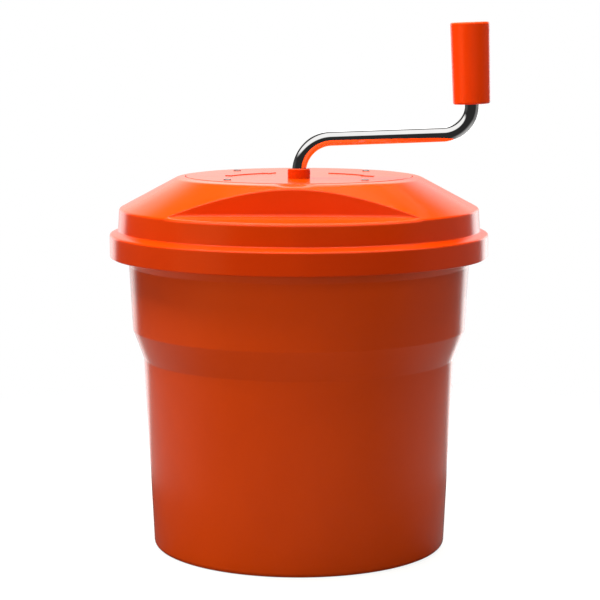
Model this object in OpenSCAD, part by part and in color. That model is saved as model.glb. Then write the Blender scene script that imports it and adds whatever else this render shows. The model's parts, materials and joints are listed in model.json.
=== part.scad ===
// Hand-cranked salad spinner: a bucket, a slotted basket that spins in it, and a lid that carries
// the crank, a step-up gear pair and the disc that drives the basket.
// Millimetres, +Z up, origin at the centre of the bucket's base. The crank arm points along +X.

/* [Bucket] */
// Radius of the foot
base_r = 128.4; // [127:0.2:130]
// Radius at the bottom of the shoulder
shoulder_low_r = 136.3; // [135:0.1:138]
// Height of the bottom of the shoulder
shoulder_low_z = 166.9; // [150:0.1:170]
// Radius at the top of the shoulder
shoulder_top_r = 145.6; // [144:0.1:147]
// Height of the top of the shoulder
shoulder_top_z = 192.2; // [185:0.1:200]
// Radius under the flare
neck_r = 148.5; // [148:0.1:150]
// Height of the start of the flare
neck_z = 248.4; // [244:0.1:250]
// Radius of the rolled rim
rim_r = 161; // [159:0.5:161]
// Height of the rim
rim_z = 270; // [268:0.5:270]
// Wall thickness of the bucket
bucket_wall = 3; // [2.5:0.1:3.5]

/* [Basket] */
// Radius of the basket at its floor
basket_low_r = 113; // [108:1:115]
// Radius of the basket under its rim
basket_top_r = 122; // [118:1:124]
// Height of the underside of the basket's floor
basket_floor_z = 24; // [23:0.5:26]
// Number of slots round the basket (even)
slot_count = 36; // [24:2:40]
// Width of a slot
slot_w = 4; // [2:0.5:5]

/* [Lid] */
// Radius of the skirt
lid_r = 165; // [165:0.5:168]
// Height of the skirt's lower edge
skirt_z = 256; // [254:0.5:258]
// Radius of the upright band above the ledge
band_r = 157.7; // [157:0.1:158.5]
// Height of the upper edge of the band
band_top_z = 297.6; // [296:0.1:300]
// Radius of the flat top
top_r = 104.2; // [103:0.1:107]
// Height of the flat top
lid_top_z = 325.6; // [325:0.1:327]
// Wall thickness of the lid
lid_wall = 3; // [2.6:0.1:3.2]
// Distance of each finger recess's wall from the lid's centre
recess_y = 113.5; // [112:0.5:118]
// Turn of the lid's pattern (recesses and screws) about the centre
lid_turn = -2.3; // [-10:0.1:10]

/* [Crank] */
// Diameter of the bent rod
rod_d = 12.5; // [12:0.1:12.8]
// Distance from the crank's axis to the corner where arm and spindle meet
crank_reach = 147.6; // [120:0.1:148]
// Height of that corner
corner_z = 363.66; // [360:0.1:380]
// Rise of the arm, and lean of the spindle, in degrees
arm_rise = 2; // [0:0.5:4]
// Bend radius above the lid
bend_low_r = 28.5; // [24:0.5:28.5]
// Bend radius under the grip
bend_high_r = 24.5; // [20:0.5:24.5]
// Length of the grip
grip_len = 69; // [62:1:80]
// Diameter of the grip at its lower end
grip_low_d = 31.6; // [30:0.1:32.5]
// Diameter of the grip at its upper end
grip_top_d = 33.3; // [32:0.1:34]

/* [Gears] */
// Tooth size (module)
gear_module = 1.2; // [1.15:0.01:1.2]
// Width of the gear teeth
gear_w = 9; // [7:0.5:9]

/* [Hidden] */

$fn = 96;
// Steps in each rounded corner of an outline
corner_steps = 5;
// Overshoot of a cutting solid past the face it cuts
cut = 1;
// Clearance of a shaft in its bush, of a pressed piece in its seat, and of pieces that pass freely
running_gap = 0.05;
press_gap = 0.02;
free_gap = 0.4;
// Gap between flat faces that slide on each other
face_gap = 0.15;

orange_gloss = "orangered";
orange_satin = "chocolate";
steel = "silver";
nylon = "ivory";
rubber = "dimgray";

// Bucket
foot_recess = 3;
foot_r = 118;
floor_top_z = foot_recess + bucket_wall;
flare_r = neck_r + 4;
flare_z = neck_z + 11;
rim_drop = 7;
pin_r = 5;
pin_top_z = 44;
pin_seat_r = 12;
pin_seat_z = 16;
pin_bore_z = foot_recess + 2;
floor_rib_count = 6;
floor_rib_reach = 60;
floor_rib_w = 2.4;
floor_rib_h = 5;

// Basket
basket_wall = 2.5;
basket_rim_z = 258;
basket_flange_z = 246;
basket_rim_r = 131.5;
rim_wall = 3.5;
sleeve_r = 8;
sleeve_top_z = 40;
sleeve_flange_r = 12;
sleeve_flange_h = 2;
sleeve_z = pin_seat_z + face_gap;
bush_wall = 2.5;
basket_hub_r = 15;
basket_hub_z = 43;
notch_count = 4;
notch_w = 13;
lug_w = 10;
lug_h = 5;
// Lower and upper height of each tier of wall slots
slot_tiers = [[48, 104], [114, 170], [180, 236]];
// Start radius, length and number of each ring of floor slots
floor_slot_rings = [[26, 40, 12], [74, 26, 24]];

// Lid and its gear well
ledge_drop = 3.1;
ledge_out_z = 275.6;
band_in_z = ledge_out_z + ledge_drop;
band_lean = 1.2;
top_shoulder_r = 20;
cover_r = 98.4;
cover_seat_r = cover_r + free_gap;
cover_t = 3;
cover_z = lid_top_z - cover_t;
well_r = 92;
well_floor_z = 302;
cone_fall = (lid_top_z - band_top_z) / (band_r - band_lean - top_r);
cone_wall = lid_wall * sqrt(1 + cone_fall * cone_fall);
recess_low_z = 299.2;
recess_fall = 0.035;
recess_lean = 0.09;
recess_corner_r = 3;
recess_half_l = 140;
// Shallow notch beside the gear cover, for prying it out
pry_w = 31;
pry_depth = 2;
pry_slope_len = 3.6;
pry_reach = 10;
screw_ring_r = 82;
screw_angles = [45, 135, 225, 315];
screw_r = 2;
screw_head_r = 3.5;
screw_head_h = 2;
screw_slot_w = 0.8;
screw_slot_len = 4;
screw_slot_depth = 1;
// Height by which the screw heads stand out of the cover
screw_head_rise = 1;
cover_head_z = lid_top_z - screw_head_h + screw_head_rise;
pillar_r = 5;
gasket_t = rim_z > 269 ? 2.4 : 3.4;
drive_seat_r = 11;
crank_seat_r = 12;
// Turn arrows, curved about the crank's axis
arrow_in_r = 64;
arrow_out_r = 70;
arrow_sweep = 40;
arrow_head = 10;
arrow_head_w = 4;
arrow_rise = 0.6;
arrow_turns = [26, 116];

// Gear train
crank_teeth = 45;
pinion_teeth = 15;
gear_offset = gear_module * (crank_teeth + pinion_teeth) / 2;
gear_z = 303.5;
gear_top_z = gear_z + gear_w;
gear_hub_top_z = 318;
rod_r = rod_d / 2;
crank_hub_r = 11;
pinion_hub_r = 6.8;
gear_pin_z = gear_top_z + 2.8;
crank_pin_r = 2;
pinion_pin_r = 1.25;
lightening_ring_r = 17.5;
lightening_r = 3.5;
crank_boss_r = 9.8;
crank_boss_low_r = 11;
crank_boss_top_z = lid_top_z + 8.4;
drive_boss_r = 9;
crank_bush_r = 7.9;
crank_bush_z = gear_hub_top_z + 0.6;
crank_bush_top_z = crank_boss_top_z - 3.2;
bush_flange_h = 1.1;
bush_flange_w = 2.5;
washer_t = 1;
// Retaining rings, their grooves, and how far a groove's lower face lies under its ring
ring_t = 1;
groove_w = 1.3;
groove_play = 0.15;
crank_seat_z = 292.5;
rod_end_z = 288;
crank_groove_z = rod_end_z + 1.6;
shaft_r = 4;
shaft_bush_r = 6;
shaft_end_z = 247.5;
shaft_top_z = 321.8;
drive_seat_z = 286.5;
drive_groove_z = drive_seat_z - 2.7;
pressure_angle = 20;
// Half of the play between two meshing teeth, taken off each flank
tooth_play = 0.14;
flank_steps = 3;

// Crank geometry in its own plane
bend_low_z = corner_z - crank_reach * tan(arm_rise) - bend_low_r * (1 - sin(arm_rise)) / cos(arm_rise);
arm_start = [bend_low_r * (1 - sin(arm_rise)), bend_low_z + bend_low_r * cos(arm_rise)];
arm_len = norm([crank_reach, corner_z] - arm_start) - bend_high_r;
grip_start = bend_high_r + 0.5;
spindle_end = grip_start + 56;
spindle_groove_z = spindle_end - 4;
grip_bore_r = 9;
grip_top_wall = 8;
cap_r = 12.5;
cap_t = 5;
cap_plug_r = 10.5;
cap_plug_len = 9;
seam_rise = 0.01;
seam_half = 0.2;

// Driving disc
disc_r = 126.5;
disc_z = 249.5;
disc_t = 2.5;
disc_top_z = disc_z + disc_t;
disc_pad_z = 246;
disc_pad_r = 30;
hub_r = 10;
hub_flange_r = 26;
hub_flange_h = 4;
hub_top_z = 281;
hub_pin_z = hub_top_z - 8;
hub_pin_r = 1.5;
hub_screw_ring_r = 19;
hub_screw_angles = [90, 210, 330];
vent_count = 20;
vent_start = 48;
vent_len = 58;
vent_w = 6;

// ---- Outlines ----

function unit(v) = v / norm(v);
function flat(p) = [p[0], p[1]];

// The corner b between a and c, rounded with radius r
function round_corner(a, b, c, r) = r == 0 ? [b] : let(
        u = unit(a - b),
        v = unit(c - b),
        half = acos(u * v) / 2,
        centre = b + unit(u + v) * r / sin(half),
        p = b + u * r / tan(half) - centre,
        q = b + v * r / tan(half) - centre,
        from = atan2(p.y, p.x),
        sweep = (atan2(q.y, q.x) - from + 540) % 360 - 180)
    [for (i = [0:corner_steps]) let(t = from + sweep * i / corner_steps) centre + r * [cos(t), sin(t)]];

// A closed outline of [x, y, corner radius] points
function rounded(pts) = let(n = len(pts))
    [for (i = [0:n - 1])
        each round_corner(flat(pts[(i + n - 1) % n]), flat(pts[i]), flat(pts[(i + 1) % n]), pts[i][2])];

// A solid of revolution of such an outline
module turned(pts) {
    rotate_extrude($fn = 180) polygon(rounded(pts));
}

// A washer, bush or sleeve
module ring(z, h, outer_r, inner_r) {
    translate([0, 0, z]) difference() {
        cylinder(r = outer_r, h = h);
        translate([0, 0, -cut]) cylinder(r = inner_r, h = h + 2 * cut);
    }
}

// A round pin that crosses the Z axis, lying along Y
module cross_pin(r, length, z) {
    translate([0, length / 2, z]) rotate([90, 0, 0]) cylinder(r = r, h = length);
}

module at_crank() {
    translate([0, -gear_offset, 0]) children();
}

module at_screws() {
    for (a = screw_angles) rotate(a + lid_turn) translate([screw_ring_r, 0, 0]) children();
}

// ---- Bucket ----

// The bucket's wall, moved in by t, from the foot to the flare
function bucket_side(t) = [
    [shoulder_low_r - t, shoulder_low_z, 4],
    [shoulder_top_r - t, shoulder_top_z, 4],
    [neck_r - t, neck_z, 2],
    [flare_r - t, flare_z, 3]];

module outer_bucket() {
    inside = bucket_side(bucket_wall);
    color(orange_satin) difference() {
        union() {
            turned(concat(
                [[0, foot_recess, 0], [foot_r, foot_recess, 1], [foot_r + 2, 0, 1], [base_r, 0, 5]],
                bucket_side(0),
                [[flare_r + 1, rim_z - bucket_wall, 1],
                 [rim_r - bucket_wall + 0.5, rim_z - bucket_wall, 1],
                 [rim_r - bucket_wall + 0.5, rim_z - rim_drop, 1],
                 [rim_r, rim_z - rim_drop, 1],
                 [rim_r, rim_z, 2],
                 [flare_r - bucket_wall + 1, rim_z, 2]],
                [for (i = [3:-1:0]) inside[i]],
                [[base_r - bucket_wall, floor_top_z, 6], [0, floor_top_z, 0]]));
            translate([0, 0, foot_recess]) cylinder(r = pin_seat_r, h = pin_seat_z - foot_recess);
            for (i = [0:floor_rib_count - 1])
                rotate(i * 360 / floor_rib_count) translate([0, -floor_rib_w / 2, foot_recess])
                    cube([floor_rib_reach, floor_rib_w, bucket_wall + floor_rib_h]);
        }
        translate([0, 0, pin_bore_z]) cylinder(r = pin_r, h = pin_seat_z);
    }
}

module pivot_pin() {
    color(steel) turned([
        [0, pin_bore_z + press_gap, 0],
        [pin_r - press_gap, pin_bore_z + press_gap, 0.8],
        [pin_r - press_gap, pin_top_z, 2.5],
        [0, pin_top_z, 0]]);
}

// Sleeve that drops over the pin and lifts out with the basket
module pivot_sleeve() {
    color(nylon) difference() {
        union() {
            translate([0, 0, sleeve_z]) cylinder(r = sleeve_flange_r, h = sleeve_flange_h);
            translate([0, 0, sleeve_z]) cylinder(r = sleeve_r, h = sleeve_top_z - sleeve_z);
        }
        translate([0, 0, sleeve_z - cut]) cylinder(r = pin_r + running_gap, h = sleeve_top_z);
    }
}

// ---- Basket ----

module basket_bush() {
    z = sleeve_z + sleeve_flange_h + face_gap;
    color(nylon) ring(z, sleeve_top_z - z - 1, sleeve_r + bush_wall, sleeve_r + running_gap);
}

module basket_wall_slots() {
    for (tier = slot_tiers, i = [0:slot_count / 2 - 1])
        rotate(i * 360 / slot_count) translate([-basket_rim_r, -slot_w / 2, tier[0]])
            cube([2 * basket_rim_r, slot_w, tier[1] - tier[0]]);
}

module basket_floor_slots() {
    for (slots = floor_slot_rings, i = [0:slots[2] - 1])
        rotate(i * 360 / slots[2]) translate([slots[0], -slot_w / 2, basket_floor_z - cut])
            cube([slots[1], slot_w, basket_wall + 2 * cut]);
}

module basket_notches() {
    for (i = [0:notch_count - 1]) rotate(i * 360 / notch_count)
        translate([basket_rim_r - rim_wall - cut, -notch_w / 2, disc_z])
            cube([rim_wall + 2 * cut, notch_w, basket_rim_z]);
}

module basket() {
    color(orange_gloss) difference() {
        turned([
            [sleeve_r, basket_floor_z, 0],
            [basket_low_r, basket_floor_z, 10],
            [basket_top_r, basket_flange_z, 2],
            [basket_rim_r, basket_flange_z, 1],
            [basket_rim_r, basket_rim_z, 1],
            [basket_rim_r - rim_wall, basket_rim_z, 1],
            [basket_rim_r - rim_wall, basket_flange_z + basket_wall, 0.5],
            [basket_top_r - basket_wall, basket_flange_z + basket_wall, 1],
            [basket_low_r - basket_wall, basket_floor_z + basket_wall, 8],
            [basket_hub_r + 4, basket_floor_z + basket_wall, 4],
            [basket_hub_r, basket_hub_z, 1],
            [sleeve_r, basket_hub_z, 0]]);
        // Seat of the bush, open at the top so that the pin and sleeve can pass
        translate([0, 0, basket_floor_z - cut])
            cylinder(r = sleeve_r + bush_wall + press_gap, h = basket_hub_z);
        basket_wall_slots();
        basket_floor_slots();
        basket_notches();
    }
}

// ---- Lid ----

// Space of one finger recess, with its faces moved in by t
module finger_recess(t) {
    z = recess_low_z - t;
    top = lid_top_z + 20;
    reach = lid_r + 10;
    rotate([90, 0, -90]) translate([0, 0, -recess_half_l - t]) linear_extrude(2 * (recess_half_l + t))
        polygon(rounded([
            [recess_y - t, z, recess_corner_r + t],
            [recess_y - t - (top - z) * recess_lean, top, 0],
            [reach, top, 0],
            [reach, z - (reach - recess_y) * recess_fall, 0]]));
}

module both_recesses(t) {
    for (a = [0, 180]) rotate(a + lid_turn) finger_recess(t);
}

module lid_outside() {
    turned([
        [0, skirt_z, 0],
        [lid_r, skirt_z, 0.8],
        [lid_r, ledge_out_z, 2],
        [band_r, band_in_z, 1.2],
        [band_r - band_lean, band_top_z, 3],
        [top_r, lid_top_z, top_shoulder_r],
        [0, lid_top_z, 0]]);
}

// The hollow under the lid, outside and below the gear well
module lid_inside() {
    skirt_in_r = lid_r - lid_wall;
    band_in_r = band_r - lid_wall;
    corner_r = band_in_r - band_lean - 0.5;
    corner_in_z = band_top_z + (band_r - band_lean - corner_r) * cone_fall - cone_wall;
    seat_z = cover_z - lid_wall;
    seat_r = corner_r - (seat_z - corner_in_z) / cone_fall;
    turned([
        [0, skirt_z - cut, 0],
        [skirt_in_r, skirt_z - cut, 0],
        [skirt_in_r, ledge_out_z - lid_wall, 1],
        [band_in_r, ledge_out_z - lid_wall, 0.8],
        [corner_r, corner_in_z, 2],
        [seat_r, seat_z, 3],
        [well_r + lid_wall, seat_z, 1],
        [well_r + lid_wall, well_floor_z - lid_wall, 0],
        [0, well_floor_z - lid_wall, 0]]);
}

// A round-bottomed notch that slopes down from the gear cover's edge and runs out through the cone
module pry_notch() {
    r = (pry_w * pry_w / 4 + pry_depth * pry_depth) / (2 * pry_depth);
    rotate(lid_turn) translate([0, -cover_seat_r, lid_top_z + r - pry_depth]) rotate([90, 0, 0]) turned([
        [0, 0, 0],
        [r - pry_depth, 0, 0],
        [r, pry_slope_len, 0],
        [r, pry_reach, 0],
        [0, pry_reach, 0]]);
}

module lid_shell() {
    color(orange_gloss) difference() {
        union() {
            difference() {
                lid_outside();
                both_recesses(0);
                difference() {
                    lid_inside();
                    both_recesses(lid_wall);
                }
                translate([0, 0, well_floor_z]) cylinder(r = well_r, h = lid_top_z);
                translate([0, 0, cover_z]) cylinder(r = cover_seat_r, h = lid_top_z);
                pry_notch();
            }
            at_screws() translate([0, 0, well_floor_z - cut])
                cylinder(r = pillar_r, h = cover_z - well_floor_z + cut);
            translate([0, 0, drive_seat_z]) cylinder(r = drive_seat_r, h = well_floor_z - drive_seat_z);
            at_crank() translate([0, 0, crank_seat_z])
                cylinder(r = crank_seat_r, h = well_floor_z - crank_seat_z);
        }
        at_screws() translate([0, 0, well_floor_z + 4])
            cylinder(r = screw_r + press_gap, h = lid_top_z);
        translate([0, 0, drive_seat_z - cut]) cylinder(r = shaft_bush_r + press_gap, h = lid_top_z);
        at_crank() translate([0, 0, crank_seat_z - cut])
            cylinder(r = crank_bush_r + press_gap, h = lid_top_z);
    }
}

module lid_gasket() {
    top = ledge_out_z - lid_wall - press_gap;
    color(rubber) ring(top - gasket_t, gasket_t, lid_r - lid_wall - 1, band_r - lid_wall + 0.3);
}

// A curved arrow, raised on the cover, that shows the way to turn
module turn_arrow() {
    middle_r = (arrow_in_r + arrow_out_r) / 2;
    far = 2 * arrow_out_r;
    difference() {
        intersection() {
            circle(r = arrow_out_r);
            polygon([[0, 0], [far, 0], [far, far], far * [cos(arrow_sweep), sin(arrow_sweep)]]);
        }
        circle(r = arrow_in_r);
    }
    polygon([
        [arrow_in_r - arrow_head_w, 0.2],
        [arrow_out_r + arrow_head_w, 0.2],
        [middle_r, -arrow_head]]);
}

module gear_cover() {
    color(orange_gloss) difference() {
        union() {
            turned([
                [0, cover_z, 0],
                [cover_r, cover_z, 0.3],
                [cover_r, lid_top_z, 0.6],
                [0, lid_top_z, 0]]);
            at_crank() for (a = arrow_turns) rotate(a) translate([0, 0, lid_top_z - cut])
                linear_extrude(cut + arrow_rise) turn_arrow();
            translate([0, 0, gear_hub_top_z])
                cylinder(r = drive_boss_r, h = cover_z - gear_hub_top_z + cut);
            at_crank() turned([
                [0, crank_bush_z, 0],
                [crank_boss_low_r, crank_bush_z, 0.5],
                [crank_boss_low_r, cover_z + cut, 0],
                [crank_boss_r, cover_z + cut, 0],
                [crank_boss_r, crank_boss_top_z, 1],
                [0, crank_boss_top_z, 0]]);
        }
        translate([0, 0, gear_hub_top_z - cut])
            cylinder(r = shaft_bush_r + press_gap, h = cut + cover_z - gear_hub_top_z);
        at_crank() translate([0, 0, crank_bush_z - cut]) {
            cylinder(r = crank_bush_r + press_gap, h = crank_bush_top_z + face_gap - crank_bush_z + cut);
            cylinder(r = rod_r + free_gap, h = crank_boss_top_z);
        }
        at_screws() {
            translate([0, 0, cover_z - cut]) cylinder(r = screw_r + 0.2, h = lid_top_z);
            translate([0, 0, cover_head_z]) cylinder(r = screw_head_r + free_gap, h = lid_top_z);
        }
    }
}

// A screw with a cross slot, from its point at z to the underside of its head at head_z
module screw(z, head_z) {
    difference() {
        union() {
            translate([0, 0, z]) cylinder(r = screw_r, h = head_z - z + screw_head_h / 2);
            translate([0, 0, head_z]) turned([
                [0, 0, 0], [screw_head_r, 0, 0], [screw_head_r, screw_head_h, 0.9], [0, screw_head_h, 0]]);
        }
        for (a = [0, 90]) rotate(a)
            translate([-screw_slot_len / 2, -screw_slot_w / 2, head_z + screw_head_h - screw_slot_depth])
                cube([screw_slot_len, screw_slot_w, screw_slot_depth + cut]);
    }
}

module cover_screws() {
    color(steel) at_screws() screw(well_floor_z + 5, cover_head_z);
}

// A bush with a thrust flange on top of the well's floor
module flanged_bush(z, outer_r, inner_r) {
    color(nylon) difference() {
        union() {
            translate([0, 0, z]) cylinder(r = outer_r, h = well_floor_z + bush_flange_h - z);
            translate([0, 0, well_floor_z + press_gap])
                cylinder(r = outer_r + bush_flange_w, h = bush_flange_h - press_gap);
        }
        translate([0, 0, z - cut]) cylinder(r = inner_r, h = lid_top_z);
    }
}

module crank_lower_bush() {
    at_crank() flanged_bush(crank_seat_z, crank_bush_r, rod_r + running_gap);
}

module drive_lower_bush() {
    flanged_bush(drive_seat_z, shaft_bush_r, shaft_r + running_gap);
}

module crank_upper_bush() {
    color(nylon) at_crank()
        ring(crank_bush_z, crank_bush_top_z - crank_bush_z, crank_bush_r, rod_r + running_gap);
}

module drive_upper_bush() {
    z = gear_hub_top_z + face_gap;
    color(nylon) ring(z, cover_z - press_gap - z, shaft_bush_r, shaft_r + running_gap);
}

// ---- Crank ----

// Frame of the grip: origin at the corner of the rod, Z along the spindle
module at_spindle() {
    at_crank() translate([crank_reach, 0, corner_z]) rotate([0, -arm_rise, 0]) children();
}

// A bend of the rod, from one angle to another, in the crank's plane, with a short seam collar
// at each end that joins it to the straight stretches
module rod_bend(centre, bend_r, from, to) {
    translate([centre.x, 0, centre.y]) rotate([90, 0, 0]) {
        rotate(from) rotate_extrude(angle = to - from) translate([bend_r, 0]) circle(r = rod_r);
        for (a = [from, to]) rotate(a) translate([bend_r, 0, 0]) rotate([90, 0, 0])
            cylinder(r = rod_r + seam_rise, h = 2 * seam_half, center = true);
    }
}

module crank_rod() {
    arm_end = arm_start + arm_len * [cos(arm_rise), sin(arm_rise)];
    color(steel) difference() {
        union() {
            at_crank() {
                translate([0, 0, rod_end_z]) cylinder(r = rod_r, h = bend_low_z - rod_end_z);
                rod_bend([bend_low_r, bend_low_z], bend_low_r, 90 + arm_rise, 180);
                translate([arm_start.x, 0, arm_start.y]) rotate([0, 90 - arm_rise, 0])
                    cylinder(r = rod_r, h = arm_len);
                rod_bend(arm_end + bend_high_r * [-sin(arm_rise), cos(arm_rise)],
                    bend_high_r, arm_rise - 90, arm_rise);
            }
            at_spindle() translate([0, 0, bend_high_r])
                cylinder(r = rod_r, h = spindle_end - bend_high_r);
        }
        at_crank() {
            ring(crank_groove_z, groove_w, rod_r + cut, rod_r - 1);
            cross_pin(crank_pin_r + press_gap, 4 * rod_r, gear_pin_z);
        }
        at_spindle() ring(spindle_groove_z, groove_w, rod_r + cut, rod_r - 1);
    }
}

// Half the angle that a tooth takes up at radius r
function tooth_half(teeth, r) = let(
        pitch_r = gear_module * teeth / 2,
        base = pitch_r * cos(pressure_angle),
        a = acos(min(1, base / r)))
    90 / teeth + (tan(pressure_angle) - tan(a)) * 180 / PI - pressure_angle + a
        - tooth_play / pitch_r * 180 / PI;

function polar(r, a) = r * [cos(a), sin(a)];

function gear_outline(teeth) = let(
        pitch_r = gear_module * teeth / 2,
        root = pitch_r - 1.25 * gear_module,
        low = max(root, pitch_r * cos(pressure_angle)),
        high = pitch_r + gear_module,
        flank = [for (i = [0:flank_steps]) low + (high - low) * i / flank_steps])
    [for (k = [0:teeth - 1], side = [-1, 1]) let(a = k * 360 / teeth)
        each concat(
            side < 0 ? [polar(root - 0.01, a - tooth_half(teeth, low))] : [],
            [for (i = [0:flank_steps]) let(r = flank[side < 0 ? i : flank_steps - i])
                polar(r, a + side * tooth_half(teeth, r))],
            side > 0 ? [polar(root - 0.01, a + tooth_half(teeth, low))] : [])];

// A toothed wheel with a hub above its teeth, its bore, and the hole of its cross pin
module toothed_wheel(teeth, phase, hub_r, bore_r, pin_r) {
    difference() {
        union() {
            translate([0, 0, gear_z]) rotate(phase) linear_extrude(gear_w) polygon(gear_outline(teeth));
            translate([0, 0, gear_z]) cylinder(r = hub_r, h = gear_hub_top_z - gear_z - face_gap);
        }
        translate([0, 0, gear_z - cut]) cylinder(r = bore_r + press_gap, h = gear_hub_top_z);
        cross_pin(pin_r + press_gap, 3 * hub_r, gear_pin_z);
        children();
    }
}

module crank_gear() {
    // A gap between two teeth faces the pinion
    color(nylon) at_crank()
        toothed_wheel(crank_teeth, 90 + 180 / crank_teeth, crank_hub_r, rod_r, crank_pin_r)
            for (a = [0:60:300]) rotate(a + 30) translate([lightening_ring_r, 0, gear_z - cut])
                cylinder(r = lightening_r, h = gear_w + 2 * cut);
}

module crank_gear_pin() {
    color(steel) at_crank() cross_pin(crank_pin_r, 2 * crank_hub_r - 1, gear_pin_z);
}

module crank_washer() {
    color(steel) at_crank()
        ring(crank_seat_z - face_gap - washer_t, washer_t, crank_seat_r - 1, rod_r + running_gap);
}

// A split retaining ring
module retaining_ring(z, outer_r, inner_r) {
    color(steel) difference() {
        ring(z, ring_t, outer_r, inner_r);
        translate([0, -1.5, z - cut]) cube([outer_r + cut, 3, ring_t + 2 * cut]);
    }
}

module crank_ring() {
    at_crank() retaining_ring(crank_groove_z + groove_play, rod_r + 3, rod_r - 0.95);
}

module grip_ring() {
    at_spindle() retaining_ring(spindle_groove_z + groove_play, rod_r + 2.2, rod_r - 0.95);
}

// ---- Grip ----

module crank_grip() {
    low_r = grip_low_d / 2;
    top_r = grip_top_d / 2;
    color(orange_gloss) at_spindle() translate([0, 0, grip_start]) difference() {
        turned([
            [0, 0, 0], [low_r, 0, 1.2], [top_r, grip_len, 2.6], [0, grip_len, 0]]);
        translate([0, 0, -cut]) cylinder(r = grip_bore_r, h = grip_len - grip_top_wall);
        translate([0, 0, grip_len - cap_t]) cylinder(r = cap_r, h = cap_t + cut);
        translate([0, 0, grip_len - cap_plug_len - cut]) cylinder(r = cap_plug_r, h = cap_plug_len);
    }
}

module grip_cap() {
    color(orange_gloss) at_spindle() translate([0, 0, grip_start + grip_len]) turned([
        [0, -cap_plug_len, 0],
        [cap_plug_r - press_gap, -cap_plug_len, 0.5],
        [cap_plug_r - press_gap, -cap_t + press_gap, 0],
        [cap_r - press_gap, -cap_t + press_gap, 0],
        [cap_r - press_gap, 0, 0.4],
        [0, 0, 0]]);
}

module grip_bush() {
    z = grip_start + 1;
    color(nylon) at_spindle() ring(z, spindle_groove_z - groove_play - z,
        grip_bore_r - press_gap, rod_r + running_gap);
}

// ---- Drive to the basket ----

module drive_shaft() {
    color(steel) difference() {
        turned([
            [0, shaft_end_z, 0],
            [shaft_r, shaft_end_z, 0.6],
            [shaft_r, shaft_top_z, 0.6],
            [0, shaft_top_z, 0]]);
        ring(drive_groove_z, groove_w, shaft_r + cut, shaft_r - 0.8);
        cross_pin(pinion_pin_r + press_gap, 4 * shaft_r, gear_pin_z);
        cross_pin(hub_pin_r + press_gap, 4 * shaft_r, hub_pin_z);
    }
}

module drive_pinion() {
    // A tooth faces the crank's gear
    color(nylon) toothed_wheel(pinion_teeth, -90, pinion_hub_r, shaft_r, pinion_pin_r);
}

module pinion_pin() {
    color(steel) cross_pin(pinion_pin_r, 2 * pinion_hub_r - 0.6, gear_pin_z);
}

module drive_washer() {
    z = drive_seat_z - face_gap - washer_t;
    color(steel) ring(z, washer_t, drive_seat_r - 2, shaft_r + running_gap);
}

module drive_ring() {
    retaining_ring(drive_groove_z + groove_play, shaft_r + 3, shaft_r - 0.75);
}

module at_hub_screws() {
    for (a = hub_screw_angles) rotate(a) translate([hub_screw_ring_r, 0, 0]) children();
}

module drive_hub() {
    color(nylon) difference() {
        turned([
            [0, disc_top_z + press_gap, 0],
            [hub_flange_r, disc_top_z + press_gap, 0.5],
            [hub_flange_r, disc_top_z + hub_flange_h, 1],
            [hub_r + 2, disc_top_z + hub_flange_h, 3],
            [hub_r, hub_top_z, 1],
            [0, hub_top_z, 0]]);
        translate([0, 0, disc_pad_z]) cylinder(r = shaft_r + press_gap, h = hub_top_z);
        cross_pin(hub_pin_r + press_gap, 4 * hub_r, hub_pin_z);
        at_hub_screws() translate([0, 0, disc_pad_z]) cylinder(r = screw_r + 0.2, h = hub_top_z);
    }
}

module hub_pin() {
    color(steel) cross_pin(hub_pin_r, 2 * hub_r - 1, hub_pin_z);
}

module hub_screws() {
    color(steel) at_hub_screws() screw(disc_pad_z + 1, disc_top_z + hub_flange_h + press_gap);
}

// Disc on the basket's mouth; its lugs sit in the notches of the basket's rim
module basket_cover() {
    lug_r = basket_rim_r - 0.5;
    color(orange_gloss) difference() {
        union() {
            turned([
                [0, disc_pad_z, 0],
                [disc_pad_r, disc_pad_z, 1],
                [disc_pad_r + 3, disc_z, 1],
                [disc_r, disc_z, 1],
                [disc_r, basket_rim_z, 0.8],
                [disc_r - disc_t, basket_rim_z, 0.8],
                [disc_r - disc_t, disc_top_z, 1],
                [0, disc_top_z, 0]]);
            for (i = [0:notch_count - 1]) rotate(i * 360 / notch_count)
                translate([disc_r - 1, -lug_w / 2, disc_z + 1]) cube([lug_r - disc_r + 1, lug_w, lug_h]);
        }
        translate([0, 0, disc_pad_z - cut]) {
            cylinder(r = shaft_r + 0.2, h = hub_r);
            at_hub_screws() cylinder(r = screw_r + press_gap, h = hub_r);
        }
        for (i = [0:vent_count - 1]) rotate((i + 0.5) * 360 / vent_count)
            translate([vent_start, -vent_w / 2, disc_z - cut]) cube([vent_len, vent_w, disc_t + 2 * cut]);
    }
}

outer_bucket();
pivot_pin();
pivot_sleeve();
basket();
basket_bush();
lid_shell();
lid_gasket();
gear_cover();
cover_screws();
crank_upper_bush();
crank_lower_bush();
drive_upper_bush();
drive_lower_bush();
crank_rod();
crank_gear();
crank_gear_pin();
crank_washer();
crank_ring();
grip_ring();
crank_grip();
grip_bush();
grip_cap();
drive_shaft();
drive_pinion();
pinion_pin();
drive_washer();
drive_ring();
drive_hub();
hub_pin();
hub_screws();
basket_cover();
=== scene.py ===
"""Salad spinner: detailed pieces, materials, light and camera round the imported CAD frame."""

import json
import math

import bmesh
import bpy
from mathutils import Matrix, Vector


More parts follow.
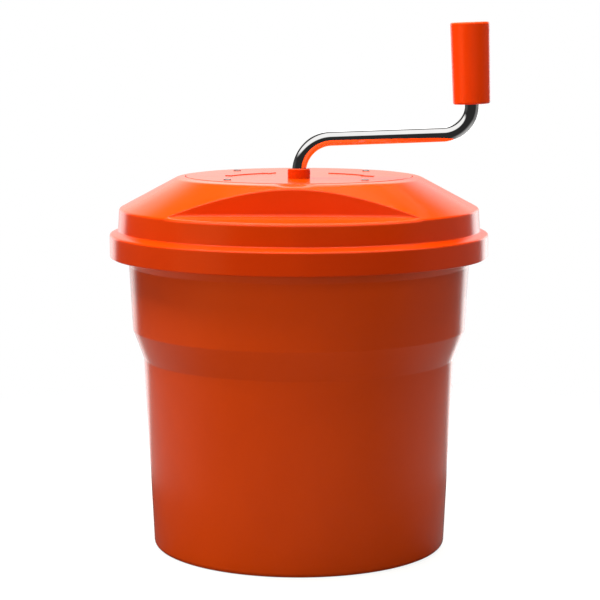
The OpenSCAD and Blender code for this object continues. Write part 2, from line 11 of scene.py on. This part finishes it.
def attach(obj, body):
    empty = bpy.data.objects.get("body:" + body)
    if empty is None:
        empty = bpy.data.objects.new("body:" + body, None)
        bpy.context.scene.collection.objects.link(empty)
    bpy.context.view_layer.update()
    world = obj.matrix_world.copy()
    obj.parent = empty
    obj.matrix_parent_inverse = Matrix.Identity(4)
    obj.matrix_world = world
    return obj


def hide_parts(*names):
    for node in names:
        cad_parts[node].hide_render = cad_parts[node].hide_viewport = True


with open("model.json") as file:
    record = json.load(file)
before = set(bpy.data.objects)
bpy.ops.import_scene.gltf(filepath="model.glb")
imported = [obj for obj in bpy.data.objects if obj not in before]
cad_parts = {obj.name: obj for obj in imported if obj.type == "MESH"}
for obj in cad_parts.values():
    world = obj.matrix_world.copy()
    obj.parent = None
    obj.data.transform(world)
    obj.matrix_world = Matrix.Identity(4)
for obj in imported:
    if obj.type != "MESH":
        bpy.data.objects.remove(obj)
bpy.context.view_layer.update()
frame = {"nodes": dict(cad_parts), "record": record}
scene = bpy.context.scene

MM = 0.001


def radians(*degrees):
    """These angles in radians, as a list."""
    return [math.radians(d) for d in degrees]


# ---------------------------------------------------------------- camera

LENS, SENSOR = 117.2, 36
CAMERA_AT = (0.0009, -1.7025, 0.4447)
CAMERA_DOWN = math.radians(7.657)

cam_data = bpy.data.cameras.new("camera")
cam_data.lens = LENS
cam_data.sensor_width = SENSOR
cam_data.clip_end = 50
cam = bpy.data.objects.new("camera", cam_data)
scene.collection.objects.link(cam)
cam.location = CAMERA_AT
cam.rotation_euler = (math.pi / 2 - CAMERA_DOWN, 0, 0)
scene.camera = cam

# ---------------------------------------------------------------- outlines and meshes

# The least that a corner's round takes up of each side, and how far beside it its guard points stand, in mm
LEAST_CUT, GUARD = 0.06, 0.25
# Points nearer to the axis than this, in mm, are on it
ON_AXIS = 1e-4


def corner(a, b, c, radius, steps, share=0.45):
    """Points of the rounded corner b between a and c; it takes up at most a share of each side."""
    middle = Vector(b)
    u, v = Vector(a) - middle, Vector(c) - middle
    side = min(u.length, v.length)
    u.normalize()
    v.normalize()
    turn = math.pi - u.angle(v, math.pi)
    cut = max(min(radius * math.tan(turn / 2), share * side), min(LEAST_CUT, 0.4 * side))
    weight = math.cos(turn / 2)
    first, last = middle + u * cut, middle + v * cut
    points = []
    for i in range(steps + 1):
        t = i / steps
        k0, k1, k2 = (1 - t) ** 2, 2 * weight * t * (1 - t), t * t
        points.append((first * k0 + middle * k1 + last * k2) / (k0 + k1 + k2))
    return points


def outline(corners, steps=5):
    """A closed outline of (r, z, radius) or (r, z, radius, share) corners, in mm, with a guard point beside
    each corner that keeps flat faces flat when they are shaded smooth."""
    arcs = []
    for i, (r, z, radius, *share) in enumerate(corners):
        before, after = corners[i - 1][:2], corners[(i + 1) % len(corners)][:2]
        arcs.append(corner(before, (r, z), after, radius, steps, *share))
    points = []
    for arc, following in zip(arcs, arcs[1:] + arcs[:1]):
        a, b = arc[-1], following[0]
        gap = (b - a).length
        guard = min(GUARD, gap / 4) / gap if gap > 1e-6 else 0.25
        points += arc + [a.lerp(b, guard), a.lerp(b, 1 - guard)]
    return points


def mesh_object(name, verts, faces):
    mesh = bpy.data.meshes.new(name)
    mesh.from_pydata(verts, [], faces)
    mesh.validate()
    mesh.update()
    mesh.shade_smooth()
    obj = bpy.data.objects.new(name, mesh)
    scene.collection.objects.link(obj)
    return obj


def revolve(outline_at, turns, closed=True):
    """Vertices and faces of a full turn about Z: outline_at(angle) gives the outline there, in mm."""
    verts, faces = [], []
    for j in range(turns):
        angle = 2 * math.pi * j / turns
        points = outline_at(angle)
        verts += [(p[0] * math.cos(angle) * MM, p[0] * math.sin(angle) * MM, p[1] * MM) for p in points]
    n = len(points)
    for j in range(turns):
        k = (j + 1) % turns
        for i in range(n if closed else n - 1):
            m = (i + 1) % n
            faces.append((j * n + i, k * n + i, k * n + m, j * n + m))
    return verts, faces


def lathe(name, corners, turns, matrix=None):
    """A solid of revolution about Z, moved by the matrix; corners run anticlockwise in the r-z plane."""
    points = outline(corners)
    off_axis = [p[0] >= ON_AXIS for p in points]
    if all(off_axis):
        verts, faces = revolve(lambda angle: points, turns)
    else:
        # Drop the points on the axis, and close both ends with a fan round one point
        start = next(i for i, off in enumerate(off_axis) if off and not off_axis[i - 1])
        loop = points[start:] + points[:start]
        inner = [p for p in loop if p[0] >= ON_AXIS]
        n = len(inner)
        low, high = loop[-1][1], loop[n][1]
        verts, faces = revolve(lambda angle: inner, turns, closed=False)
        tip = len(verts)
        verts += [(0, 0, low * MM), (0, 0, high * MM)]
        for j in range(turns):
            k = (j + 1) % turns
            faces += [(tip, k * n, j * n), (tip + 1, j * n + n - 1, k * n + n - 1)]
    if matrix is not None:
        verts = [tuple(matrix @ Vector(v)) for v in verts]
    return mesh_object(name, verts, faces)


def tube(name, path, radius, sides):
    """A round bar with flat ends along path, a list of (point, tangent) in a plane across Y."""
    verts, faces = [], []
    side = Vector((0, 1, 0))
    for point, tangent in path:
        up = tangent.cross(side).normalized()
        for k in range(sides):
            angle = 2 * math.pi * k / sides
            verts.append(tuple(point + (side * math.cos(angle) + up * math.sin(angle)) * radius))
    for j in range(len(path) - 1):
        for k in range(sides):
            m = (k + 1) % sides
            faces.append((j * sides + k, j * sides + m, (j + 1) * sides + m, (j + 1) * sides + k))
    faces.append(tuple(reversed(range(sides))))
    faces.append(tuple(range(len(verts) - sides, len(verts))))
    return mesh_object(name, verts, faces)


# ---------------------------------------------------------------- the design's sizes, in mm

BASE_R, FOOT_R, FOOT_DEPTH = 128.4, 118, 3
BUCKET_SIDE = [(136.3, 166.9, 5), (145.6, 192.2, 5), (148.5, 248.4, 3), (152.5, 259.4, 4)]
BUCKET_WALL, RIM_R, RIM_WALL, RIM_THICK, RIM_Z, RIM_DROP = 3, 161, 2.5, 3, 270, 7
PIVOT_BOSS_R, PIVOT_BOSS_Z, PIVOT_HOLE_R, PIVOT_HOLE_Z = 12, 16, 5.05, 5.1
RIB_COUNT, RIB_FROM, RIB_TO, RIB_W, RIB_LOW_Z, RIB_TOP_Z, RIB_EDGE = 6, 11.4, 60, 2.4, 5.75, 11.25, 0.5

LID_R, SKIRT_Z, LEDGE_OUT_Z, BAND_IN_Z = 165, 256, 275.6, 278.7
BAND_R, BAND_TOP_R, BAND_TOP_Z = 157.7, 156.5, 297.6
TOP_R, LID_TOP_Z, LID_WALL = 104.2, 325.6, 3
COVER_Z, COVER_SEAT_R, SEAM_GAP, WELL_R, WELL_FLOOR_Z = 322.6, 98.8, 0.3, 92, 302
DRIVE_SEAT_Z, DRIVE_HOLE_R, DRIVE_BOSS_R = 286.5, 6.02, 11
CRANK_SEAT_Z, CRANK_HOLE_R, CRANK_BOSS_R = 292.5, 7.92, 12
SCREW_RING_R, SCREW_HOLE_R, SCREW_PILLAR_R = 82, 2.02, 5
CONE_FALL = (LID_TOP_Z - BAND_TOP_Z) / (BAND_TOP_R - TOP_R)
SHOULDER_R, SHOULDER_FALL = 106.1, 0.1
PRY_HALF_W, PRY_DEPTH, PRY_R = 15.5, 1.9, 102.4
RECESS_Y, RECESS_LOW_Z, RECESS_LEAN = 113.5, 299.2, 0.09
# How far the recess keeps from the band, how softly it does so, and where its floor dips towards its tips
RECESS_KEEP, RECESS_BLEND, DIP_FROM, DIP_LEN, DIP_DEPTH = 2, 1.5, 88, 18, 0.6
RECESS_TIP, RECESS_FADE = radians(41.5, 3)
LID_TURN = math.radians(-2.3)

ROD_R, ROD_END_Z, GEAR_OFFSET, CRANK_REACH, CORNER_Z = 6.25, 288, 36, 147.6, 363.66
ARM_RISE = math.radians(2)
BEND_LOW_R, BEND_HIGH_R, SPINDLE_END = 28.5, 24.5, 81
GRIP_START, GRIP_LEN, GRIP_LOW_R, GRIP_TOP_R, GRIP_BORE_R = 25, 69, 15.8, 16.65, 9
# The grip's cap lies on a step: its radius and depth, and those of the collar under it
CAP_R, CAP_DEPTH, COLLAR_R, COLLAR_DEPTH = 12.5, 5, 10.5, 9


# ---------------------------------------------------------------- bucket


def add_floor_ribs(mesh):
    """Ribs on the bucket's floor, from the pivot's boss outwards."""
    middle = Vector(((RIB_FROM + RIB_TO) / 2, 0, (RIB_LOW_Z + RIB_TOP_Z) / 2)) * MM
    size = Vector((RIB_TO - RIB_FROM, RIB_W, RIB_TOP_Z - RIB_LOW_Z)) * MM
    bm = bmesh.new()
    bm.from_mesh(mesh)
    for i in range(RIB_COUNT):
        turn = Matrix.Rotation(2 * math.pi * i / RIB_COUNT, 4, "Z")
        made = bmesh.ops.create_cube(bm, size=1, matrix=turn @ Matrix.LocRotScale(middle, None, size))
        edges = list(dict.fromkeys(e for v in made["verts"] for e in v.link_edges))
        bmesh.ops.bevel(bm, geom=edges, offset=RIB_EDGE * MM, segments=2, affect="EDGES", profile=0.5)
    for f in bm.faces:
        f.smooth = True
    bm.to_mesh(mesh)
    bm.free()


def bucket():
    neck_r = BUCKET_SIDE[-1][0]
    rim_in = RIM_R - RIM_WALL
    floor_z = FOOT_DEPTH + BUCKET_WALL
    corners = [
        (0, FOOT_DEPTH, 0),
        (FOOT_R, FOOT_DEPTH, 1),
        (FOOT_R + 2, 0, 1.2),
        (BASE_R, 0, 5.5),
        *BUCKET_SIDE,
        (neck_r + 1, RIM_Z - RIM_THICK, 1.5),
        (rim_in, RIM_Z - RIM_THICK, 1),
        (rim_in, RIM_Z - RIM_DROP, 1),
        (RIM_R, RIM_Z - RIM_DROP, 1),
        (RIM_R, RIM_Z, 2),
        (neck_r - 2, RIM_Z, 2),
        *[(r - BUCKET_WALL, z, max(radius - 2, 2)) for r, z, radius in reversed(BUCKET_SIDE)],
        (BASE_R - BUCKET_WALL, floor_z, 7),
        (PIVOT_BOSS_R + 1, floor_z, 2),
        (PIVOT_BOSS_R, PIVOT_BOSS_Z, 1),
        (PIVOT_HOLE_R, PIVOT_BOSS_Z, 0.5),
        (PIVOT_HOLE_R, PIVOT_HOLE_Z, 0.1),
        (0, PIVOT_HOLE_Z, 0),
    ]
    obj = lathe("bucket_shell", corners, turns=320)
    add_floor_ribs(obj.data)
    return obj


# ---------------------------------------------------------------- lid


def cone_z(r, t=0.0):
    """Height of the lid's cone at radius r, moved in by t."""
    return BAND_TOP_Z + (BAND_TOP_R - r) * CONE_FALL - t * math.sqrt(1 + CONE_FALL**2)


def smooth_min(a, b, k):
    """The smaller of a and b, blended where they are less than k apart."""
    h = max(k - abs(a - b), 0) / k
    return min(a, b) - h * h * k / 4


def turn_from(angle, axis):
    """How far the angle is from the axis, either way round."""
    return abs((angle - axis + math.pi) % (2 * math.pi) - math.pi)


def recess_corners(angle, t=0.0):
    """Top and foot (r, z, r, z) of the finger recess's wall at this angle, moved in by t."""
    phi = min(turn_from(angle, LID_TURN + side * math.pi / 2) for side in (1, -1))
    edge = BAND_TOP_R - RECESS_KEEP - 0.9 * t
    r_wall = smooth_min((RECESS_Y - t) / max(math.cos(phi), 0.5), edge, RECESS_BLEND)
    r_foot = min(r_wall + 0.4, edge + 0.5)
    # The wall leans in as it rises, up to the cone
    over = cone_z(0, t) - (RECESS_LOW_Z - t)
    r_top = (RECESS_Y - t - RECESS_LEAN * over) / max(math.cos(phi) - RECESS_LEAN * CONE_FALL, 0.4)
    r_top = min(smooth_min(r_top, edge, RECESS_BLEND) - 0.1, r_foot - 0.9)
    dip = min(max(0.0, (r_wall * math.sin(phi) - DIP_FROM) / DIP_LEN), 1.2)
    cone = cone_z(r_foot, t)
    z_foot = min(RECESS_LOW_Z - t - DIP_DEPTH * dip * dip, cone)
    # Past its tips the recess fades into the cone
    past = min(max((phi - RECESS_TIP) / RECESS_FADE, 0.0), 1.0)
    past = past * past * (3 - 2 * past)
    return r_top, cone_z(r_top, t), r_foot, z_foot + (cone - z_foot) * past


def pry_notch(angle):
    """How deep the pry notch in front of the cover's edge is at this angle, from 0 to 1."""
    if math.sin(angle) >= 0:
        return 0.0
    across = PRY_R * math.sin(angle - LID_TURN + math.pi / 2)
    return max(0.0, 1 - (across / PRY_HALF_W) ** 2)


def lid_outline(angle):
    """The lid's outline at this angle, out along its underside and back along its top."""
    top_r, top_z, foot_r, foot_z = recess_corners(angle)
    under_top_r, under_top_z, under_foot_r, under_foot_z = recess_corners(angle, LID_WALL)
    depth = max(0.0, top_z - foot_z)
    soft = min(1.0, depth / 2)
    notch = pry_notch(angle)
    shoulder_r = SHOULDER_R + 2.6 * notch
    seam_r, seam_z = COVER_SEAT_R + SEAM_GAP, LID_TOP_Z - SEAM_GAP
    slope_z = seam_z - SHOULDER_FALL * (PRY_R - COVER_SEAT_R)
    # The underside: beside the well it is level, then it follows the cone, inside the recess's wall
    well_out, well_under = WELL_R + LID_WALL, WELL_FLOOR_Z - LID_WALL
    band_in, skirt_in, ledge_under = BAND_R - LID_WALL, LID_R - LID_WALL, LEDGE_OUT_Z - LID_WALL
    cone_r = band_in - 1.7
    seat_z = COVER_Z - LID_WALL
    seat_r = cone_r - (seat_z - cone_z(cone_r, LID_WALL)) / CONE_FALL
    if under_top_r < seat_r + 3:
        seat_r = under_top_r - 1.5
    corners = [
        (DRIVE_HOLE_R, DRIVE_SEAT_Z, 0.4),
        (DRIVE_BOSS_R, DRIVE_SEAT_Z, 1),
        (DRIVE_BOSS_R, well_under, 2),
        (well_out, well_under, 2),
        (well_out, seat_z, 1),
        (seat_r, seat_z, 1.5),
        (under_top_r, under_top_z, 1.5 * soft + 0.3),
        (under_foot_r, under_foot_z, 1.5 * soft + 0.3),
        (cone_r, cone_z(cone_r, LID_WALL) - 0.4, 1.5),
        (band_in, ledge_under, 1),
        (skirt_in, ledge_under, 1),
        (skirt_in, SKIRT_Z, 0.8),
        (LID_R, SKIRT_Z, 0.9),
        (LID_R, LEDGE_OUT_Z, 2.2),
        (BAND_R, BAND_IN_Z, 1.4),
        (BAND_TOP_R, BAND_TOP_Z, 3, 0.8),
        (foot_r, foot_z, 3 * soft + 0.3, 0.48 if depth > 3 else 0.15),
        (top_r, top_z, 2 * soft + 0.3),
        (shoulder_r, cone_z(shoulder_r), 12 - 9 * notch, 0.75),
        (PRY_R, slope_z - PRY_DEPTH * notch, 0.2 + 0.6 * notch),
        (seam_r, seam_z, 0.5, 0.18),
        (seam_r, COVER_Z, 0.3),
        (WELL_R, COVER_Z, 0.5),
        (WELL_R, WELL_FLOOR_Z, 2),
        (DRIVE_HOLE_R, WELL_FLOOR_Z, 0.4),
    ]
    return outline(corners, steps=6)


def lid():
    verts, faces = revolve(lid_outline, 960)
    bosses = [(0, -GEAR_OFFSET, CRANK_SEAT_Z, WELL_FLOOR_Z - LID_WALL + 0.3, CRANK_HOLE_R, CRANK_BOSS_R)]
    for quarter in range(4):
        angle = math.pi / 4 + quarter * math.pi / 2 + LID_TURN
        x, y = SCREW_RING_R * math.cos(angle), SCREW_RING_R * math.sin(angle)
        bosses.append((x, y, WELL_FLOOR_Z - 0.3, COVER_Z, SCREW_HOLE_R, SCREW_PILLAR_R))
    for x, y, low, high, inner, outer in bosses:
        points = outline([(inner, low, 0.3), (outer, low, 0.8), (outer, high, 0.4), (inner, high, 0.3)])
        ring_verts, ring_faces = revolve(lambda angle: points, 64)
        start = len(verts)
        verts += [(v[0] + x * MM, v[1] + y * MM, v[2]) for v in ring_verts]
        faces += [tuple(start + i for i in f) for f in ring_faces]
    return mesh_object("lid_moulding", verts, faces)


# ---------------------------------------------------------------- crank rod and grip


def crank_path():
    """The rod's middle line from its lower end to the end of the spindle, as (point, tangent) in metres."""
    rise, run = math.sin(ARM_RISE), math.cos(ARM_RISE)
    path = []

    def add(x, z, along_x, along_z):
        path.append((Vector((x, -GEAR_OFFSET, z)) * MM, Vector((along_x, 0, along_z))))

    def bend(x, z, radius, start, end, steps=40):
        way = math.copysign(1, end - start)
        for i in range(steps + 1):
            a = start + (end - start) * i / steps
            add(x + radius * math.cos(a), z + radius * math.sin(a), -way * math.sin(a), way * math.cos(a))

    low_z = CORNER_Z - CRANK_REACH * math.tan(ARM_RISE) - BEND_LOW_R * (1 - rise) / run
    for z in (ROD_END_Z, 300, 320, 326, 329):
        add(0, z, 0, 1)
    bend(BEND_LOW_R, low_z, BEND_LOW_R, math.pi, math.pi / 2 + ARM_RISE)
    x0, z0 = path[-1][0].x / MM, path[-1][0].z / MM
    arm = math.hypot(CRANK_REACH - x0, CORNER_Z - z0) - BEND_HIGH_R
    for i in range(1, 12):
        add(x0 + arm * i / 12 * run, z0 + arm * i / 12 * rise, run, rise)
    x1, z1 = x0 + arm * run, z0 + arm * rise
    bend(x1 - BEND_HIGH_R * rise, z1 + BEND_HIGH_R * run, BEND_HIGH_R, ARM_RISE - math.pi / 2, ARM_RISE)
    for s in (GRIP_START, 32.5, 44.5, 64.5, SPINDLE_END):
        add(CRANK_REACH - s * rise, CORNER_Z + s * run, -rise, run)
    return path


def crank_bar():
    return tube("crank_bar", crank_path(), ROD_R * MM, sides=64)


def grip():
    spindle = Matrix.Translation(Vector((CRANK_REACH, -GEAR_OFFSET, CORNER_Z)) * MM)
    spindle @= Matrix.Rotation(-ARM_RISE, 4, "Y")
    top = GRIP_START + GRIP_LEN
    corners = [
        (GRIP_BORE_R, GRIP_START, 0.5),
        (GRIP_LOW_R, GRIP_START, 1.6),
        (GRIP_TOP_R, top, 2.6),
        (CAP_R, top, 0.4),
        (CAP_R, top - CAP_DEPTH, 0.2),
        (COLLAR_R, top - CAP_DEPTH, 0.2),
        (COLLAR_R, top - COLLAR_DEPTH, 0.3),
        (GRIP_BORE_R, top - COLLAR_DEPTH, 0.2),
    ]
    return lathe("grip_moulding", corners, turns=160, matrix=spindle)


# ---------------------------------------------------------------- node trees


class Graph:
    """Short names for building the node tree of a material or of the world."""

    def __init__(self, owner):
        owner.use_nodes = True
        self.nodes, self.links = owner.node_tree.nodes, owner.node_tree.links

    def add(self, kind, **inputs):
        """A new node with these inputs, each a number, a colour or another node's output."""
        return self.fill(self.nodes.new("ShaderNode" + kind), **inputs)

    def fill(self, node, **inputs):
        for name, value in inputs.items():
            self.feed(node.inputs[name.replace("_", " ")], value)
        return node

    def feed(self, socket, value):
        if isinstance(value, bpy.types.NodeSocket):
            self.links.new(value, socket)
        else:
            socket.default_value = value

    def math(self, operation, *values):
        node = self.nodes.new("ShaderNodeMath")
        node.operation = operation
        for socket, value in zip(node.inputs, values):
            self.feed(socket, value)
        return node.outputs[0]

    def product(self, first, *others):
        for other in others:
            first = self.math("MULTIPLY", first, other)
        return first

    def remap(self, value, low, high, start, end, kind="LINEAR"):
        """From start to end while value goes from low to high."""
        node = self.add("MapRange", Value=value, From_Min=low, From_Max=high, To_Min=start, To_Max=end)
        node.interpolation_type = kind
        return node.outputs["Result"]

    def step(self, value, low, high, start=0.0, end=1.0):
        """The same with soft ends."""
        return self.remap(value, low, high, start, end, "SMOOTHSTEP")

    def pick(self, factor, a, b):
        """a where the factor is 0, b where it is 1."""
        node = self.nodes.new("ShaderNodeMix")
        node.data_type = "FLOAT"
        return self.fill(node, Factor=factor, A=a, B=b).outputs["Result"]

    def shader(self, factor, a, b):
        """The shader a where the factor is 0, b where it is 1."""
        node = self.add("MixShader", Fac=factor)
        self.feed(node.inputs[1], a.outputs[0])
        self.feed(node.inputs[2], b.outputs[0])
        return node

    def noise(self, where, scale, detail, **more):
        return self.add("TexNoise", Vector=where, Scale=scale, Detail=detail, **more).outputs["Fac"]

    def ramp(self, value, low, low_color, high, high_color):
        node = self.add("ValToRGB", Fac=value)
        stops = zip(node.color_ramp.elements, (low, high), (low_color, high_color))
        for stop, position, color in stops:
            stop.position = position
            stop.color = (*color, 1)
        return node.outputs["Color"]

    def bump(self, height, strength, distance, **more):
        node = self.add("Bump", Height=height, Strength=strength, Distance=distance, **more)
        return node.outputs["Normal"]

    def separate(self, vector):
        return self.add("SeparateXYZ", Vector=vector).outputs


# ---------------------------------------------------------------- materials


def new_material(name):
    """A material, its graph, its shader and the place on the object, in metres."""
    mat = bpy.data.materials.new(name)
    g = Graph(mat)
    return mat, g, g.nodes["Principled BSDF"], g.add("TexCoord").outputs["Object"]


def plastic(name, color, dark, rough, ior, gloss=0.5):
    """Moulded plastic: slightly uneven pigment, flow marks, a fine orange-peel skin and faint scuffs."""
    mat, g, shader, where = new_material(name)
    flow = g.noise(where, 9, 3, Distortion=0.8)
    speck = g.noise(where, 420, 2)
    pigment = g.math("MULTIPLY_ADD", speck, 0.22, flow)
    scuff = g.noise(where, 38, 6, Roughness=0.65)
    peel = g.bump(g.noise(where, 900, 2), 0.35, 0.04 * MM)
    wave = g.bump(g.noise(where, 26, 1), 0.2, 0.4 * MM, Normal=peel)
    g.fill(
        shader,
        Base_Color=g.ramp(pigment, 0.35, dark, 0.85, color),
        Roughness=g.remap(scuff, 0.3, 0.75, rough * 0.93, rough * 1.12),
        Normal=wave,
        IOR=ior,
        Specular_IOR_Level=gloss,
    )
    return mat


def metal(name, color, rough, scratch, fineness):
    """Metal with a slightly uneven polish and drawn lines, which are this fine along X, Y and Z."""
    mat, g, shader, where = new_material(name)
    lines = g.noise(g.add("Mapping", Vector=where, Scale=fineness).outputs["Vector"], 1, 4)
    cloud = g.noise(where, 60, 5)
    g.fill(
        shader,
        Base_Color=g.ramp(cloud, 0, [c * 0.86 for c in color], 1, color),
        Roughness=g.remap(lines, 0, 1, rough * 0.6, rough * 1.5),
        Normal=g.bump(lines, scratch, 0.02 * MM),
        Metallic=1,
    )
    return mat


BY_SLOT = {
    "bucket_plastic": plastic(
        "bucket_orange", (0.53, 0.045, 0.0006), (0.48, 0.039, 0.0005), rough=0.22, ior=1.42, gloss=0.32
    ),
    "lid_plastic": plastic(
        "lid_orange", (0.49, 0.031, 0.0006), (0.43, 0.026, 0.0005), rough=0.17, ior=1.42, gloss=0.32
    ),
    "grip_plastic": plastic(
        "grip_orange", (0.62, 0.035, 0.0006), (0.55, 0.030, 0.0005), rough=0.24, ior=1.42, gloss=0.3
    ),
    "basket_plastic": plastic(
        "basket_orange", (0.60, 0.036, 0.002), (0.53, 0.030, 0.0015), rough=0.32, ior=1.45
    ),
    "white_nylon": plastic("nylon", (0.80, 0.78, 0.68), (0.70, 0.67, 0.56), rough=0.42, ior=1.5),
    "gasket_rubber": plastic("rubber", (0.016, 0.016, 0.017), (0.01, 0.01, 0.011), rough=0.7, ior=1.5),
    "polished_rod": metal(
        "polished_rod", (0.80, 0.79, 0.78), rough=0.045, scratch=0.06, fineness=(60, 3000, 3000)
    ),
    "turned_steel": metal(
        "turned_steel", (0.56, 0.55, 0.53), rough=0.3, scratch=0.3, fineness=(3000, 3000, 60)
    ),
}
slot_of = {s["node"]: s["material_slot"] for s in frame["record"]["subparts"]}
for node, obj in frame["nodes"].items():
    for slot in obj.material_slots:
        slot.material = BY_SLOT[slot_of[node]]


def place(obj, body, node, slot):
    obj.data.materials.append(BY_SLOT[slot])
    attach(obj, body)
    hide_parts(node)


place(bucket(), "bucket", "outer_bucket", "bucket_plastic")
place(lid(), "lid", "lid_shell", "lid_plastic")
place(crank_bar(), "crank", "crank_rod", "polished_rod")
place(grip(), "grip", "crank_grip", "grip_plastic")

# ---------------------------------------------------------------- the room that shiny surfaces mirror

# Brightness on the left and on the right: of the white wall behind the object, in its middle and at its
# edges, and of the sides
WALL_MIDDLE, WALL_EDGE, SIDE = (0.84, 0.66), (1.9, 2.8), (0.09, 0.25)
# Where the middle turns into the edge, where the wall ends and where the dark front starts, each as two
# angles from straight behind
MIDDLE_END, WALL_END, FRONT_START = radians(8, 30), radians(34, 41), radians(95, 125)
# Brightness of the ceiling in front of the object, of the dark rest, and of what lights matt surfaces
CEILING, ROOM, AMBIENT = 1.2, 0.03, 0.05
# Where the ceiling starts and ends, as angles from the level front up over the object, and as heights
CEILING_START, CEILING_END, CEILING_LOW = radians(24, 34), radians(96, 108), (0.3, 0.5)
# The wall's upper edge is an arch: how high it stands straight behind and at the sides, where it gets that
# low, and how soft the edge is, as angles
ARCH_TOP, ARCH_SIDE, ARCH_END, ARCH_SOFT = radians(56, 27, 25, 6)


def from_behind(g, x, y):
    """The angle of the level direction (x, y) from straight behind, either way round."""
    return g.math("ABSOLUTE", g.math("ARCTAN2", x, y))


def wall_level(g, x, y):
    """Brightness of the surround in the level direction (x, y)."""
    angle = from_behind(g, x, y)
    middle = g.step(x, -0.08, 0.08, *WALL_MIDDLE)
    edge = g.step(x, -0.25, 0.25, *WALL_EDGE)
    wall = g.pick(g.step(angle, *MIDDLE_END), middle, edge)
    side = g.step(x, -0.25, 0.25, *SIDE)
    beside = g.pick(g.step(angle, *FRONT_START), side, ROOM)
    return g.pick(g.step(angle, *WALL_END), wall, beside)


def build_floor():
    """A table that is white to the camera, with a faint shadow close to the object."""
    bpy.ops.mesh.primitive_plane_add(size=6, location=(0, 0, 0))
    floor = bpy.context.active_object
    floor.name = "floor"
    mat = bpy.data.materials.new("floor")
    floor.data.materials.append(mat)
    g = Graph(mat)
    g.nodes.clear()
    x, y, _ = g.separate(g.add("TexCoord").outputs["Object"])
    reach = g.math("SQRT", g.math("ADD", g.product(x, x), g.product(y, y)))
    near = g.step(reach, 0.25, 0.8, 1, 0)
    paper = g.add("BsdfDiffuse", Color=(0.8, 0.8, 0.8, 1))
    white = g.add("Emission", Color=(1, 1, 1, 1))
    shown = g.shader(g.math("MULTIPLY_ADD", near, -0.16, 1), paper, white)
    # Mirrored, it is as bright as the room in that direction, with a pale ring behind and beside the object
    ring = g.product(g.step(reach, 0.25, 0.36, 0.1, 0.5), g.step(reach, 0.55, 1.4, 1, 0))
    close = g.product(ring, g.step(from_behind(g, x, y), *radians(90, 140), 1, 0.05))
    mirrored = g.add("Emission", Strength=g.math("MAXIMUM", close, wall_level(g, x, y)))
    dark = g.add("BsdfDiffuse", Color=(0.22, 0.22, 0.22, 1))
    ray = g.add("LightPath").outputs
    surface = g.shader(ray["Is Camera Ray"], g.shader(ray["Is Glossy Ray"], dark, mirrored), shown)
    g.add("OutputMaterial", Surface=surface.outputs[0])


def build_world():
    """White to the camera, the room to glossy rays, and a dim even light to all others."""
    world = bpy.data.worlds.new("studio")
    scene.world = world
    g = Graph(world)
    g.nodes.clear()
    x, y, z = g.separate(g.add("TexCoord").outputs["Generated"])
    arc = g.math("ARCTAN2", z, g.product(y, -1))
    ceiling = g.product(
        g.step(arc, *CEILING_START),
        g.step(arc, *CEILING_END, 1, 0),
        g.step(z, *CEILING_LOW),
    )
    angle = from_behind(g, x, y)
    above = g.math("SUBTRACT", g.math("ARCSINE", z), g.step(angle, 0, ARCH_END, ARCH_TOP, ARCH_SIDE))
    under_arch = g.step(above, -ARCH_SOFT, ARCH_SOFT, 1, 0)
    # With height the wall gets brighter in its middle and darker at its edges
    middle_rise, edge_fall = g.step(z, 0.1, 0.5, 1, 3), g.step(z, 0.12, 0.34, 1, 0.5)
    by_height = g.pick(g.step(angle, *radians(8, 20)), middle_rise, edge_fall)
    wall = g.product(wall_level(g, x, y), under_arch, by_height)
    room = g.math("MAXIMUM", g.math("MULTIPLY_ADD", ceiling, CEILING, wall), ROOM)
    ray = g.add("LightPath").outputs
    level = g.pick(ray["Is Camera Ray"], g.pick(ray["Is Glossy Ray"], AMBIENT, room), 1)
    sky = g.add("Background", Color=(1, 1, 1, 1), Strength=level)
    g.add("OutputWorld", Surface=sky.outputs[0])


build_floor()
build_world()

# ---------------------------------------------------------------- lamps


def area_light(name, power, color, size, location, target):
    """A soft light that is not itself seen in reflections; the room above stands in for it there."""
    data = bpy.data.lights.new(name, "AREA")
    data.shape = "RECTANGLE"
    data.size, data.size_y = size
    data.energy = power
    data.color = color
    obj = bpy.data.objects.new(name, data)
    scene.collection.objects.link(obj)
    obj.location = location
    obj.rotation_euler = (Vector(target) - Vector(location)).to_track_quat("-Z", "Y").to_euler()
    obj.visible_glossy = False


area_light("top_softbox", 120, (1, 1, 0.92), (1.8, 1.2), (-0.08, 0.1, 1.45), (0, -0.05, 0.3))
area_light("front_fill", 21, (1, 0.98, 0.7), (2.0, 1.4), (0.6, -2.2, 1.3), (0, 0, 0.16))
area_light("left_fill", 11, (1, 0.95, 0.4), (1.2, 0.5), (-1.7, -1.0, 0.25), (0, 0, 0.03))

scene.view_settings.view_transform = "Standard"
